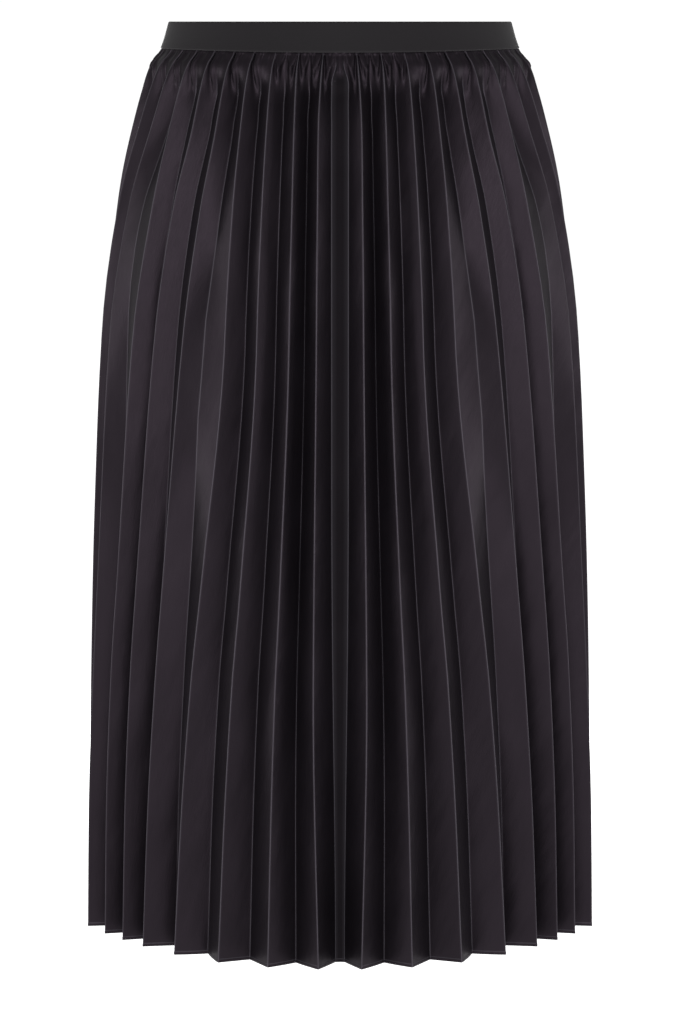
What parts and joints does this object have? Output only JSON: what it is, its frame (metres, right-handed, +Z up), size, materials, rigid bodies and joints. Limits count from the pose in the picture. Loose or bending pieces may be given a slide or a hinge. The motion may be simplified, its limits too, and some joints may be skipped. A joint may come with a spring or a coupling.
{
  "type": "pleated skirt",
  "caption": "Midi-length sunray-pleated satin skirt on a plain elastic waistband, hollow and filled out as when worn, open at waist and hem.",
  "frame": {"origin": "middle of the waistband's ring at half its height, where the wearer's waist holds the skirt up", "axes": "+Z up out of the waist, front faces -Y, +X to the right as seen from the front"},
  "size_m": [0.4472, 0.2959, 0.803],
  "materials": {
    "waistband_satin": "matte side of black satin, smooth over covered elastic",
    "pleated_satin": "black satin with a soft plum sheen, heat-set sharp pleats"
  },
  "bodies": {
    "root": {"waistband": "waistband_satin", "front_panel": "pleated_satin", "back_panel": "pleated_satin"}
  },
  "joints": []
}
